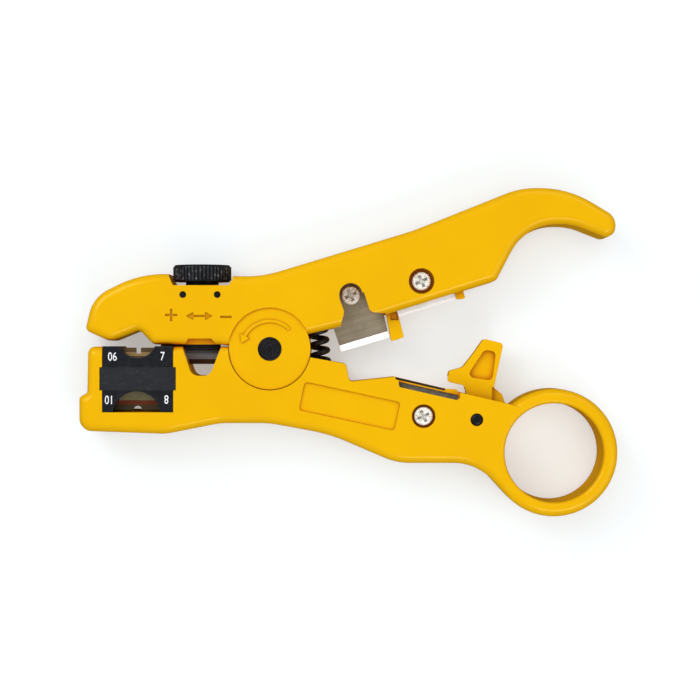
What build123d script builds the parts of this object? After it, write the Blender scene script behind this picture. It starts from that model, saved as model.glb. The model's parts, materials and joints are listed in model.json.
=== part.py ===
from build123d import *
import os
from math import cos, hypot, radians, sin, tan

# Cable stripping and cutting tool, built like a clothes-peg.
# The origin is on the pivot axis, on the plane that the back faces lie on. +X runs along
# the handles, +Z is the thickness. All sizes are in millimetres.

# Overall sizes
THICKNESS = 16.0            # both arms, back face to front face
HANDLE_LENGTH = 87.2        # pivot axis to the far side of the finger ring
JAW_LENGTH = 47.8           # pivot axis to the heel of the lower jaw
CLOSE_ANGLE = 28.0          # how far the handles squeeze together, degrees
MID = THICKNESS / 2

# Gaps between pieces
SLIDE_GAP = 0.1             # flat faces that slide on each other
RUN_GAP = 0.05              # pins turning in holes
FREE_GAP = 0.3              # pieces that pass each other

# Rounding of the mouldings
OUTER_ROUND = 2.2

# Layers in the thickness
BACK_WALL = 5.0             # back wall beside the middle slots
FORK_FRONT = 5.0            # front cheek of the pivot fork
FACE_STEP = 0.5             # pivot cheeks stand this far below the faces
LATCH_T = 5.3
STRIP_T = 0.7               # straight handle blades
CUTTER_T = 0.65
TONGUE_Z = (BACK_WALL + SLIDE_GAP, THICKNESS - FORK_FRONT - SLIDE_GAP)
LATCH_Z = (BACK_WALL + FREE_GAP, BACK_WALL + FREE_GAP + LATCH_T)
UPPER_STRIP_Z = (LATCH_Z[1] + FREE_GAP, LATCH_Z[1] + FREE_GAP + STRIP_T)
LOWER_STRIP_Z = (UPPER_STRIP_Z[1] + SLIDE_GAP, UPPER_STRIP_Z[1] + SLIDE_GAP + STRIP_T)
CUTTER_Z = (MID - CUTTER_T / 2, MID + CUTTER_T / 2)

# Pivot
BOSS_R = 10.2
BOSS_SEAT_R = BOSS_R + FREE_GAP / 2
TONGUE_R = 9.2
PIVOT_SHAFT_R = 2.5
PIVOT_HEAD_R = PIVOT_SHAFT_R + 0.45
PIVOT_HEAD_T = 1.2
PIVOT_TAIL_R = PIVOT_SHAFT_R - 0.7
PIVOT_DOME = 0.35
ARROW_R = 7.0
ARROW_W = 0.75
MARK_DEPTH = 0.4

# Return spring between the arms
SPRING_X = 12.25
SPRING_Y = (-6.9, 8.8)
SPRING_LEAN = 4.7
SPRING_OD = 5.5
SPRING_WIRE = 1.25
SPRING_TURNS = 6.5
SPRING_POCKET_R = SPRING_OD / 2 + FREE_GAP

# Finger ring on the lower arm
RING_BORE_R = 12.4
RING_WALL = 3.6
RING_R = RING_BORE_R + RING_WALL
RING = (HANDLE_LENGTH - RING_R, -26.0)
BORE_ROUND = min(1.0, 0.7 * (RING_WALL - OUTER_ROUND))

# Tail of the upper arm
TAIL_X = HANDLE_LENGTH - 0.6

# Cassette and its pocket
CASSETTE_W = 17.5
CASSETTE_H = 16.4
CASSETTE_X = -JAW_LENGTH + 14.8
CASSETTE_TOP = 0.7
CASSETTE_FIT = 0.15         # gap on each side of the cassette
LUG_REACH = 0.65
LUG_Y = (-10.2, -4.7)
POCKET_FLOOR = 1.2
POCKET_LEDGE = 2.0
PLATE_T = 3.5
NOTCH_SMALL_R = 4.7
NOTCH_LARGE_R = 6.1
SMALL_NOTCH_DEPTH = 3.0
LARGE_NOTCH_DEPTH = 5.1
COAX_BLADE_T = 0.5
COAX_BLADE_H = 5.6
SLIT_W = 1.15
SLIT_DEPTH = 1.5
BLADE_HOLE_R = 1.05
JACKET_GAP_R = 2.45
CASSETTE_PIN_R = 0.75
CASSETTE_Z = (POCKET_FLOOR + SLIDE_GAP, THICKNESS - SLIDE_GAP)

# Thumbwheel and adjustable blade
WHEEL_X = -17.4
WHEEL_R = 7.35
WHEEL_Y = (17.0, 21.2)
RIB_COUNT = 48
RIB_DEPTH = 0.35
STEM_R = 4.15
STEM_FOOT = 12.2
SEAT_Y = 15.95              # floor of the wheel notch
CROSS_PIN_R = 0.85
CROSS_PIN_Y = 13.6
CROSS_PIN_X = STEM_R + 0.15
SCREW_R = 1.5
SCREW_Y = (5.3, 19.0)
SLIDER_HALF_W = 4.0
SLIDER_HALF_T = 3.6
SLIDER_Y = (0.0, 8.4)
SLIDER_DROP = 0.5           # travel below rest
SLIDER_RISE = 3.4           # travel above rest
NUT_R = 2.8
NUT_LENGTH = 3.5
ROUND_BLADE_HALF_W = 4.7
ROUND_BLADE_T = 0.6
ROUND_BLADE_Y = (-3.8, 1.6)
NOTCH_FLOOR = -6.7
SHADE_DEPTH = 3.0
SEAM_X = (-28.6, -22.5)      # lip that closes the seam between the jaws from behind
SEAM_LIP_T = 1.0
SEAM_LIP_FOOT = 0.25

# Screws
SCREW_HEAD_T = 1.6
CUTTER_SCREW = (20.3, 13.6)
CUTTER_SCREW_HEAD_R = 2.35
CUTTER_BORE_R = 2.9
BEVEL_ANGLE = 20.0
UPPER_SCREW = (38.0, 17.0)
UPPER_BORE_R = 3.2
LOWER_SCREW = (38.5, -16.8)
LOWER_BORE_R = 2.95
HOLDER_HEAD_R = 2.35
HOLDER_SCREW_R = 1.5
SCREW_WALL = 1.4            # wall that each screw head bears on

# Straight handle blades
STRIP_START = (32.4, 8.1)    # lower left corner of the upper blade
STRIP_SLOPE = 17.2          # degrees, lower edge of the upper blade
STRIP_LENGTH = 15.2
LIP_T = 0.8                 # thickness of the lip in front of the lower blade

# Latch
LATCH = (51.8, -17.7)
LATCH_PIN_R = 1.6
LATCH_BOSS_R = 3.3
NOSE_RELIEF_Z = 3.6         # height of the relief under the nose
CATCH_T = 0.85
CATCH_Z = (LATCH_Z[0], LATCH_Z[0] + NOSE_RELIEF_Z - FREE_GAP)

# Label recess
LABEL = (20.0, -14.3)
LABEL_SIZE = (24.5, 7.3)
LABEL_TURN = -12.2
LABEL_DEPTH = 0.5


# ---------------------------------------------------------------- helpers

def outline(*corners):
    """Closed face through (x, y, radius) corners. A radius of 0 leaves the corner sharp."""
    bends = []
    for i, (x, y, r) in enumerate(corners):
        before = Vector(*corners[i - 1][:2])
        after = Vector(*corners[(i + 1) % len(corners)][:2])
        here = Vector(x, y)
        back, on = (before - here).normalized(), (after - here).normalized()
        half = radians(back.get_angle(on)) / 2
        reach = r / tan(half)
        middle = here + (back + on).normalized() * (r / sin(half) - r)
        bends.append((here + back * reach, middle, here + on * reach, r))
    edges = []
    for i, (start, middle, end, r) in enumerate(bends):
        if r > 0:
            edges.append(Edge.make_three_point_arc(start, middle, end))
        following = bends[(i + 1) % len(bends)][0]
        if (following - end).length > 1e-4:
            edges.append(Edge.make_line(end, following))
    return Face(Wire(edges))


def slab(face, z0, z1):
    """Upright prism over a flat face."""
    return extrude(Pos(0, 0, z0) * face, amount=z1 - z0, dir=(0, 0, 1))


def rod(centre, r, z0, z1):
    """Upright cylinder."""
    return Pos(centre[0], centre[1], z0) * Cylinder(r, z1 - z0, align=(Align.CENTER, Align.CENTER, Align.MIN))


def bar_y(x, z, r, y0, y1):
    """Cylinder along Y."""
    return Pos(x, (y0 + y1) / 2, z) * Rot(90, 0, 0) * Cylinder(r, y1 - y0)


def block(x0, x1, y0, y1, z0, z1):
    """Box between two corners."""
    return Pos((x0 + x1) / 2, (y0 + y1) / 2, (z0 + z1) / 2) * Box(x1 - x0, y1 - y0, z1 - z0)


def face_edges(solid):
    """Edges that lie on the back and front faces."""
    levels = solid.edges().filter_by(Plane.XY).group_by(Axis.Z)
    return levels[0] + levels[-1]


def one(shape):
    """The single solid of a boolean result."""
    return shape.solids()[0] if len(shape.solids()) == 1 else shape


def save(node, shape, colour):
    """Write one node."""
    shape.label = node
    shape.color = Color(*colour)
    export_step(shape, "parts/" + node + ".step")


YELLOW = (0.95, 0.72, 0.02)
BLACK = (0.06, 0.06, 0.07)
STEEL = (0.62, 0.62, 0.6)
ZINC = (0.8, 0.8, 0.8)
BRASS = (0.75, 0.6, 0.3)


# ---------------------------------------------------------------- shared outlines

def upper_outline():
    """Upper jaw and handle. The jaw lies left of the pivot, the curved tail right."""
    tip = -JAW_LENGTH + 2.0
    lip_x = TAIL_X - 29.8
    lip = (lip_x, 8.3 + (lip_x - 28.0) * tan(radians(STRIP_SLOPE)))
    return outline(
        (tip - 0.5, 4.7, 1.4), (tip + 1.4, 13.0, 9.0), (tip + 13.5, 19.0, 26.0),
        (-2.2, 18.1, 30.0), (36.0, 29.7, 60.0), (TAIL_X - 23.8, 40.4, 20.0), (TAIL_X - 11.9, 40.4, 25.0),
        (TAIL_X + 0.5, 33.0, 4.0), (TAIL_X - 0.4, 27.2, 2.4),
        (TAIL_X - 10.7, 31.3, 15.0), (TAIL_X - 22.5, 31.3, 13.0), (*lip, 1.6),
        (28.0, 8.3, 1.5), (24.5, 7.5, 2.0), (17.5, 5.6, 1.5), (9.0, 3.6, 0.0),
        (-9.5, 0.75, 0.5), (-13.0, 1.15, 0.5), (-29.2, 1.15, 2.0),
        (tip + 13.1, 4.85, 1.7), (tip + 5.9, 1.9, 2.6),
    )


def lower_outline():
    """Lower jaw and handle without the finger ring."""
    heel = -JAW_LENGTH
    return outline(
        (heel + 2.2, 0.6, 1.8), (heel + 2.0, -11.0, 1.0), (heel, -12.1, 1.0),
        (heel, -20.5, 3.2), (-26.0, -21.3, 14.0), (-12.5, -18.6, 18.0), (0.0, -18.6, 25.0),
        (15.0, -21.4, 40.0), (31.8, -28.6, 16.0), (RING[0] - 19.3, -28.6, 13.0),
        (RING[0] - 0.74 * RING_R, RING[1] - 0.673 * RING_R, 0.0), (RING[0], RING[1], 0.0),
        (RING[0] - 9.5, -14.3, 0.0), (LATCH[0] + 8.0, -13.75, 0.0), (31.2, -7.0, 1.2), (19.9, -8.2, 1.0), (19.1, -3.7, 1.2),
        (10.2, -2.1, 0.0), (-9.0, 0.65, 0.0),
    )


def latch_outline():
    """Lever, nose and foot of the latch, measured from its pin."""
    points = (
        (2.1, 20.3, 1.0), (7.1, 19.1, 1.0), (4.65, 8.0, 0.8), (6.8, 6.3, 0.8), (7.6, 4.0, 0.3),
        (2.6, -1.7, 1.2), (-3.2, -0.6, 1.0), (-2.3, 7.1, 0.6), (-3.0, 8.5, 0.5),
        (-7.1, 9.45, 0.9), (-6.7, 12.15, 0.9), (-3.2, 13.1, 1.6), (-0.4, 16.7, 3.0),
    )
    return outline(*((LATCH[0] + x, LATCH[1] + y, r) for x, y, r in points))


def along_strip(distance, rise):
    """Point at a distance along the upper strip blade's edge and a rise above it."""
    c, s = cos(radians(STRIP_SLOPE)), sin(radians(STRIP_SLOPE))
    return (STRIP_START[0] + distance * c - rise * s, STRIP_START[1] + distance * s + rise * c)


def strip_frame(x, y, r=0.0):
    """Corner given along and above the upper strip blade's edge."""
    return (*along_strip(x, y), r)


# ---------------------------------------------------------------- upper arm

def round_notch():
    """Floor of the wheel notch and its flared sides."""
    return outline(
        (WHEEL_X - WHEEL_R - 0.9, WHEEL_Y[1] + 3, 0.0), (WHEEL_X - WHEEL_R - 0.55, 18.4, 0.5),
        (WHEEL_X - WHEEL_R + 0.55, SEAT_Y, 0.4), (WHEEL_X + WHEEL_R - 0.15, SEAT_Y, 0.4),
        (WHEEL_X + WHEEL_R + 0.75, 17.6, 0.5), (WHEEL_X + WHEEL_R + 1.2, WHEEL_Y[1] + 3, 0.0),
    )


def blade_window():
    """Front cut-out that shows the cutter blade."""
    x, y = CUTTER_SCREW
    r = CUTTER_BORE_R
    return outline(
        (x - r, y, 0.0), (x - r + 0.1, y - 1.0, 0.8), (x - 1.6, y - 4.3, 1.6), (x - 2.9, y - 9.2, 0.0),
        (x + 9.0, y - 9.2, 0.0), (x + 8.7, y - 4.6, 0.0), (x + 4.9, y - 4.4, 1.6),
        (x + 3.3, y + 0.6, 0.4), (x + r - 0.6, y + 0.6, 0.0), (x, y + 0.4, 0.0),
    )


def cutter_outline():
    """Cutter blade with its sharp edge at the bottom."""
    x, y = CUTTER_SCREW
    return outline(
        (16.0, 4.95, 0.0), (17.9, -0.65, 0.0), (30.0, 3.0, 0.0), (28.75, 8.6, 0.0),
        (x + 6.2, y - 3.8, 0.0), (x + 3.0, y + 3.0, 1.5), (x - 3.0, y + 3.0, 1.5), (x - 3.0, y - 4.5, 0.0),
    )


def upper_slot():
    """Room in the upper handle for the insert and, with the handles closed, for the latch lever."""
    x, y = LATCH
    insert_room = outline((29.2, 2.0, 0.0), (29.2, 14.5, 0.0), (35.0, 21.5, 1.0), (44.0, 23.5, 0.0),
                          (46.0, 6.0, 0.0))
    lever_room = outline((x - 9.8, y - 1.0, 0.0), (x - 10.1, y + 15.4, 0.5), (x - 4.4, y + 22.6, 1.0),
                         (x + 8.3, y + 22.0, 1.0), (x + 6.4, y + 8.5, 0.0), (x + 8.4, y + 5.2, 0.0),
                         (x + 8.4, y - 1.0, 0.0))
    return insert_room + Rot(0, 0, CLOSE_ANGLE) * lever_room


def plus_minus_marks():
    """Turning marks beside the wheel: plus, double arrow and minus."""
    z0, z1 = THICKNESS - MARK_DEPTH, THICKNESS + 1
    x, y, w = WHEEL_X - 7.2, 8.5, 0.55
    marks = block(x - 1.5, x + 1.5, y - w / 2, y + w / 2, z0, z1)
    marks += block(x - w / 2, x + w / 2, y - 1.5, y + 1.5, z0, z1)
    marks += block(WHEEL_X + 5.1, WHEEL_X + 7.9, 8.0 - w / 2, 8.0 + w / 2, z0, z1)
    centre = WHEEL_X - 0.2
    marks += block(centre - 2.0, centre + 2.0, 8.25 - w / 2, 8.25 + w / 2, z0, z1)
    for side in (-1, 1):
        head = outline((centre + side * 3.3, 8.25, 0.0), (centre + side * 1.5, 9.3, 0.0),
                       (centre + side * 1.5, 7.2, 0.0))
        marks += slab(head, z0, z1)
    return marks


def arc_arrow():
    """Raised arc with an arrow head on the front cheek of the pivot."""
    z0, z1 = THICKNESS - FACE_STEP - 0.01, THICKNESS - FACE_STEP + MARK_DEPTH
    band = rod((0, 0), ARROW_R + ARROW_W / 2, z0, z1) - rod((0, 0), ARROW_R - ARROW_W / 2, z0 - 1, z1 + 1)
    wedge = outline((0, 0, 0.0), (-12.0, 6.0, 0.0), (-8.0, 14.0, 0.0), (8.0, 14.0, 0.0), (10.5, 10.5, 0.0))
    band = band & slab(wedge, z0, z1)
    head = outline((-1.3, 0.1, 0.0), (1.3, 0.1, 0.0), (0.0, -1.9, 0.0))
    turn = Rot(0, 0, 153) * Pos(ARROW_R, 0, 0) * Rot(0, 0, 180)
    return band + turn * slab(head, z0, z1)


def upper_arm():
    """Fork-shaped upper arm with its wheel seat, blade pocket and handle slot."""
    arm = slab(upper_outline(), 0, THICKNESS)
    outer = face_edges(arm).filter_by(lambda e: upper_outer(e.center()))
    arm = fillet(outer, OUTER_ROUND)
    # pivot fork
    for z0, z1 in ((0, FACE_STEP), (THICKNESS - FACE_STEP, THICKNESS)):
        arm -= rod((0, 0), BOSS_SEAT_R, z0, z1)
    cheek_z = ((FACE_STEP, BACK_WALL), (THICKNESS - FORK_FRONT, THICKNESS - FACE_STEP))
    for z0, z1 in cheek_z:
        arm += rod((0, 0), BOSS_R, z0, z1)
    arm -= rod((0, 0), TONGUE_R + FREE_GAP, BACK_WALL, THICKNESS - FORK_FRONT)
    arm -= rod((0, 0), PIVOT_SHAFT_R + RUN_GAP, -1, THICKNESS + 1)
    arm -= rod((0, 0), PIVOT_HEAD_R + RUN_GAP, THICKNESS - FACE_STEP - PIVOT_HEAD_T, THICKNESS)
    arm -= rod((0, 0), PIVOT_HEAD_R + RUN_GAP, 0, FACE_STEP + PIVOT_HEAD_T)
    arm += arc_arrow()
    # wheel, screw and slide block
    arm -= slab(round_notch(), -1, THICKNESS + 1)
    arm -= bar_y(WHEEL_X, MID, STEM_R + SLIDE_GAP, STEM_FOOT - 0.2, SEAT_Y + 1)
    half_w, half_t = SLIDER_HALF_W + SLIDE_GAP, SLIDER_HALF_T + SLIDE_GAP
    arm -= block(WHEEL_X - half_w, WHEEL_X + half_w, -3, STEM_FOOT - 0.2, MID - half_t, MID + half_t)
    groove_w, groove_t = ROUND_BLADE_HALF_W + SLIDE_GAP, ROUND_BLADE_T / 2 + SLIDE_GAP
    arm -= block(WHEEL_X - groove_w, WHEEL_X + groove_w, -3, ROUND_BLADE_Y[1] + SLIDER_RISE + FREE_GAP,
                 MID - groove_t, MID + groove_t)
    for side in (-1, 1):
        arm -= rod((WHEEL_X + side * CROSS_PIN_X, CROSS_PIN_Y), CROSS_PIN_R, -1, THICKNESS + 1)
    shade = outline((-22.4, -0.5, 0.0), (-20.4, 2.6, 0.4), (-14.6, 2.6, 0.4), (-12.0, -0.5, 0.0))
    arm -= slab(shade, THICKNESS - SHADE_DEPTH, THICKNESS + 1)
    arm -= slab(shade, -1, SHADE_DEPTH)
    arm -= plus_minus_marks()
    arm += block(*SEAM_X, SEAM_LIP_FOOT, 2.0, 0, SEAM_LIP_T)
    # spring pocket
    arm -= spring_pocket(MID, SPRING_Y[1])
    # cutter blade
    arm -= slab(cutter_outline(), *CUTTER_Z)
    arm -= slab(blade_window(), CUTTER_Z[1], THICKNESS + 1)
    arm -= rod(CUTTER_SCREW, CUTTER_BORE_R, CUTTER_Z[1], THICKNESS + 1)
    arm -= rod(CUTTER_SCREW, HOLDER_SCREW_R, 2.0, CUTTER_Z[1])
    # handle slot
    arm -= slab(upper_slot(), BACK_WALL, UPPER_STRIP_Z[1])
    arm -= rod(UPPER_SCREW, HOLDER_SCREW_R, 2.0, THICKNESS)
    arm -= rod(UPPER_SCREW, UPPER_BORE_R, UPPER_STRIP_Z[1] + SCREW_WALL, THICKNESS + 1)
    arm += stop_tab()
    return arm


def upper_outer(p):
    """True on the outside of the upper arm, false along the jaw gap and handle gap."""
    if p.X < -JAW_LENGTH + 7.0:
        return p.Y > 3.5
    if p.X < 16.0:
        return p.Y > 8.0
    return p.Y > 0.353 * (p.X - 32.0) + 13.0


def stop_tab():
    """Small tab under the handle at the end of the strip blade."""
    z0, z1 = UPPER_STRIP_Z[0], LOWER_STRIP_Z[1] - SLIDE_GAP
    tab = outline(strip_frame(STRIP_LENGTH, -0.1, 0.3), strip_frame(STRIP_LENGTH + 2.2, -0.6, 0.5),
                  strip_frame(STRIP_LENGTH + 2.2, 4.0), strip_frame(STRIP_LENGTH, 4.0))
    return slab(tab, z0, z1)


def spring_axis(y):
    """Point of the spring's axis at a height y."""
    return (SPRING_X - (y - 1.0) * tan(radians(SPRING_LEAN)), y)


def spring_pocket(z, end):
    """Blind round pocket for one end of the spring."""
    middle = 1.0
    length = (end - middle) / cos(radians(SPRING_LEAN))
    x, y = spring_axis((end + middle) / 2)
    return Pos(x, y, z) * Rot(0, 0, SPRING_LEAN) * Rot(90, 0, 0) * Cylinder(SPRING_POCKET_R, abs(length))


# ---------------------------------------------------------------- lower arm

def cable_notch():
    """U-shaped notch for round data cable under the adjustable blade."""
    return outline(
        (WHEEL_X - 4.75, 1.4, 0.0), (WHEEL_X - 2.05, NOTCH_FLOOR, 2.3),
        (WHEEL_X + 2.45, NOTCH_FLOOR, 2.3), (WHEEL_X + 5.55, 1.4, 0.0),
    )


def lower_slot():
    """Middle slot of the lower handle. Blade, guard, catch and latch go in here."""
    x, y = LATCH
    return outline(
        (13.0, 2.0, 0.0), (x + 8.3, 2.0, 0.0), (x + 8.25, y + 2.9, 0.0), (x + 5.2, y - 3.9, 1.5),
        (34.2, -21.4, 1.5), (33.2, -15.0, 1.0), (13.6, -12.0, 1.5),
    )


def pocket_outline(fit):
    """Cassette outline with its side lugs, larger all round by a fit."""
    w = CASSETTE_W / 2 + fit
    return outline(
        (CASSETTE_X - w, CASSETTE_TOP + fit, 0.0), (CASSETTE_X - w, LUG_Y[1] + fit, 0.0),
        (CASSETTE_X - w - LUG_REACH, LUG_Y[1] + fit, 0.0), (CASSETTE_X - w - LUG_REACH, LUG_Y[0] - fit, 0.0),
        (CASSETTE_X - w, LUG_Y[0] - fit, 0.0), (CASSETTE_X - w, CASSETTE_TOP - CASSETTE_H - fit, 0.0),
        (CASSETTE_X + w, CASSETTE_TOP - CASSETTE_H - fit, 0.0), (CASSETTE_X + w, LUG_Y[0] - fit, 0.0),
        (CASSETTE_X + w + LUG_REACH, LUG_Y[0] - fit, 0.0), (CASSETTE_X + w + LUG_REACH, LUG_Y[1] + fit, 0.0),
        (CASSETTE_X + w, LUG_Y[1] + fit, 0.0), (CASSETTE_X + w, CASSETTE_TOP + fit, 0.0),
    )


def lower_outer(p):
    """True on the outside of the lower arm, false along the jaw gap and handle gap."""
    if p.X < -JAW_LENGTH + 3.0 or p.X > RING[0]:
        return True
    if p.X < 20.0:
        return p.Y < -11.0
    return p.Y < -0.24 * (p.X - 31.2) - 11.0


def lower_arm():
    """Lower arm with the finger ring, the cassette pocket and the pivot tongue."""
    arm = slab(lower_outline(), 0, THICKNESS) + rod(RING, RING_R, 0, THICKNESS)
    outer = face_edges(arm).filter_by(lambda e: lower_outer(e.center()))
    arm = fillet(outer, OUTER_ROUND)
    arm -= rod(RING, RING_BORE_R, -1, THICKNESS + 1)
    bore = arm.edges().filter_by(GeomType.CIRCLE).filter_by(
        lambda e: abs(e.radius - RING_BORE_R) < 0.01 and abs(e.arc_center.X - RING[0]) < 0.01)
    arm = fillet(bore, BORE_ROUND)
    # pivot tongue
    for z0, z1 in ((-1, TONGUE_Z[0]), (TONGUE_Z[1], THICKNESS + 1)):
        arm -= rod((0, 0), BOSS_SEAT_R, z0, z1)
    arm += rod((0, 0), TONGUE_R, *TONGUE_Z)
    arm -= rod((0, 0), PIVOT_SHAFT_R, -1, THICKNESS + 1)
    # data cable notch and blade slot
    arm -= slab(cable_notch(), -1, THICKNESS + 1)
    slot_t = ROUND_BLADE_T / 2 + FREE_GAP
    arm -= block(WHEEL_X - ROUND_BLADE_HALF_W - 0.9, WHEEL_X + ROUND_BLADE_HALF_W + FREE_GAP,
                 ROUND_BLADE_Y[0] - SLIDER_DROP - 2 * FREE_GAP, 2, MID - slot_t, MID + slot_t)
    # cassette pocket, open towards the upper jaw
    pocket = pocket_outline(CASSETTE_FIT)
    w = CASSETTE_W / 2 + CASSETTE_FIT
    arm -= slab(pocket, POCKET_FLOOR, THICKNESS + 1)
    arm -= block(CASSETTE_X - w, CASSETTE_X + w, CASSETTE_TOP - 1, CASSETTE_TOP + 2, POCKET_FLOOR, THICKNESS + 1)
    arm -= block(CASSETTE_X - w + POCKET_LEDGE, CASSETTE_X + w - POCKET_LEDGE,
                 CASSETTE_TOP - CASSETTE_H + 0.35, CASSETTE_TOP + 2, -1, POCKET_FLOOR)
    arm -= block(SEAM_X[0], SEAM_X[1] + FREE_GAP, SEAM_LIP_FOOT - FREE_GAP, 2.0, -1, SEAM_LIP_T + SLIDE_GAP)
    # spring pocket
    arm -= spring_pocket(MID, SPRING_Y[0])
    # handle slot
    room = slab(lower_slot(), BACK_WALL, LOWER_STRIP_Z[1]) - rod((0, 0), 16.2, 0, THICKNESS)
    arm -= room
    arm -= slab(strip_window(), LOWER_STRIP_Z[1], THICKNESS + 1)
    arm -= slab(strip_lip(), LOWER_STRIP_Z[1] + LIP_T, THICKNESS + 1)
    arm -= slab(strip_gap(), LOWER_STRIP_Z[1], THICKNESS + 1)
    arm += slab(lip_end(), LOWER_STRIP_Z[1], LOWER_STRIP_Z[1] + LIP_T)
    arm -= rod(LOWER_SCREW, HOLDER_SCREW_R, 2.0, THICKNESS)
    arm -= rod(LOWER_SCREW, LOWER_BORE_R, LOWER_STRIP_Z[1] + SCREW_WALL, THICKNESS + 1)
    arm -= rod(LATCH, LATCH_PIN_R, -1, THICKNESS + 1)
    label = Pos(*LABEL, THICKNESS) * Rot(0, 0, LABEL_TURN) * Box(*LABEL_SIZE, 2 * LABEL_DEPTH)
    arm -= fillet(label.edges().filter_by(Axis.Z), 0.9)
    return arm


def strip_window():
    """Narrow window in the front wall that shows the lower strip blade."""
    return outline((32.3, -8.2, 0.2), (47.3, -11.6, 0.2), (47.3, -12.9, 0.5), (32.4, -9.5, 0.5))


def strip_lip():
    """Step that leaves only a thin lip between the window and the handle gap."""
    return outline((32.3, -6.5, 0.0), (47.6, -9.9, 0.0), (47.6, -12.4, 0.0), (32.3, -8.9, 0.0))


def strip_gap():
    """Cut above the lip that bares the edge of the lower strip blade."""
    return outline((31.5, -6.0, 0.0), (44.0, -9.0, 0.0), (44.0, -10.5, 0.0), (31.5, -7.6, 0.0))


def lip_end():
    """Raised end of the lip beside the blade's edge."""
    return outline((44.0, -9.95, 0.0), (46.9, -10.15, 0.4), (47.5, -10.9, 0.0), (47.5, -11.5, 0.0),
                   (44.0, -10.6, 0.0))


# ---------------------------------------------------------------- pivot and spring

def pivot_pin():
    """Headed pin. It is tight in the tongue and turns in the cheeks."""
    top = THICKNESS - FACE_STEP
    pin = rod((0, 0), PIVOT_SHAFT_R, FACE_STEP + PIVOT_HEAD_T, top - PIVOT_HEAD_T)
    pin += rod((0, 0), PIVOT_HEAD_R, top - PIVOT_HEAD_T, top)
    pin += rod((0, 0), PIVOT_TAIL_R, FACE_STEP + 0.3, FACE_STEP + PIVOT_HEAD_T)
    rim = pin.edges().filter_by(GeomType.CIRCLE).group_by(Axis.Z)[-1]
    pin = fillet(rim, PIVOT_DOME)
    for r in (1.0, 1.9):
        pin -= rod((0, 0), r + 0.15, top - 0.15, top + 1) - rod((0, 0), r - 0.15, top - 1, top + 2)
    return pin


def pivot_retainer():
    """Cap pressed on the back end of the pivot pin. It ends flush with the back faces."""
    cap = rod((0, 0), PIVOT_HEAD_R, 0, FACE_STEP + PIVOT_HEAD_T)
    cap = fillet(cap.edges().filter_by(GeomType.CIRCLE).group_by(Axis.Z)[0], PIVOT_DOME)
    return cap - rod((0, 0), PIVOT_TAIL_R, FACE_STEP + 0.3, FACE_STEP + PIVOT_HEAD_T + 1)


def return_spring():
    """Compression spring with its axis close to Y."""
    length = (SPRING_Y[1] - SPRING_Y[0]) / cos(radians(SPRING_LEAN))
    r = (SPRING_OD - SPRING_WIRE) / 2
    rise = length - SPRING_WIRE - 2 * SLIDE_GAP
    path = Helix(pitch=rise / SPRING_TURNS, height=rise, radius=r)
    section = Plane(path @ 0, z_dir=path % 0) * Circle(SPRING_WIRE / 2)
    coil = sweep(section, path=path, is_frenet=True)
    x, y = spring_axis(SPRING_Y[0])
    return Pos(x, y, MID) * Rot(0, 0, SPRING_LEAN) * Rot(-90, 0, 0) * Pos(0, 0, SPRING_WIRE / 2 + SLIDE_GAP) * coil


# ---------------------------------------------------------------- blades of the handles

def recessed_screw(centre, head_r, z_head, z_tip):
    """Pan head screw with a cross recess."""
    screw = rod(centre, head_r, z_head, z_head + SCREW_HEAD_T)
    screw = fillet(screw.edges().filter_by(GeomType.CIRCLE).group_by(Axis.Z)[-1], 0.6)
    screw += rod(centre, HOLDER_SCREW_R, z_tip, z_head)
    arm, depth, w = head_r * 0.66, 1.0, 0.75
    top = z_head + SCREW_HEAD_T
    for turn in (25, 115):
        cross = Pos(*centre, top - depth / 2 + 0.01) * Rot(0, 0, turn) * Box(2 * arm, w, depth)
        screw -= cross
    return screw


def cutter_blade():
    """Cutter blade with a ground bevel along its sharp edge."""
    blade = slab(cutter_outline(), *CUTTER_Z) - rod(CUTTER_SCREW, HOLDER_SCREW_R, 0, THICKNESS)
    steep = 1.044 / tan(radians(BEVEL_ANGLE))
    bevel = Plane(origin=(17.9, -0.65, CUTTER_Z[0] + 0.1), x_dir=(12.1, 3.65, 0), z_dir=(0.30, -1.0, steep))
    cutter = bevel * Pos(0, 0, 3) * Box(60, 12, 6)
    return blade - cutter


def cutter_blade_screw():
    """Screw of the cutter blade."""
    return recessed_screw(CUTTER_SCREW, CUTTER_SCREW_HEAD_R, CUTTER_Z[1], 2.0)


def upper_strip_blade():
    """Straight blade under the upper handle."""
    blade = outline(strip_frame(0, 0), strip_frame(STRIP_LENGTH, 0), strip_frame(STRIP_LENGTH, 4.0),
                    strip_frame(10.0, 9.8, 1.0), strip_frame(3.6, 9.8, 1.0), strip_frame(0, 4.0))
    blade = slab(blade, *UPPER_STRIP_Z) - rod(UPPER_SCREW, HOLDER_SCREW_R, 0, THICKNESS)
    return blade


def blade_guard():
    """Insert in the upper slot with the guard tab and the catch for the latch."""
    z0, z1 = BACK_WALL, UPPER_STRIP_Z[0]
    body = outline((29.25, 9.0, 0.0), (30.55, 1.9, 0.5), (33.75, 2.95, 0.5), (32.35, 8.4, 0.0),
                   strip_frame(7.7, 0.25), (40.5, 20.8, 0.5), (35.3, 20.8, 0.5), (29.5, 14.0, 0.0))
    guard = slab(body, z0, z1)
    catch = outline(strip_frame(7.0, 0.1), strip_frame(11.4, 0.1), strip_frame(11.4, 0.1 + CATCH_T),
                    strip_frame(7.0, 0.1 + CATCH_T))
    guard += slab(catch, *CATCH_Z)
    guard -= block(30.3, 32.3, 7.3, 9.6, z1 - 0.6, z1 + 1)
    below = outline(strip_frame(-5.0, -9.0), strip_frame(17.0, -9.0), strip_frame(17.0, 1.4), strip_frame(-5.0, 1.4))
    guard -= slab(below, z0 - 1, z0 + SLIDE_GAP)
    return guard - rod(UPPER_SCREW, HOLDER_SCREW_R, 0, THICKNESS)


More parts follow.
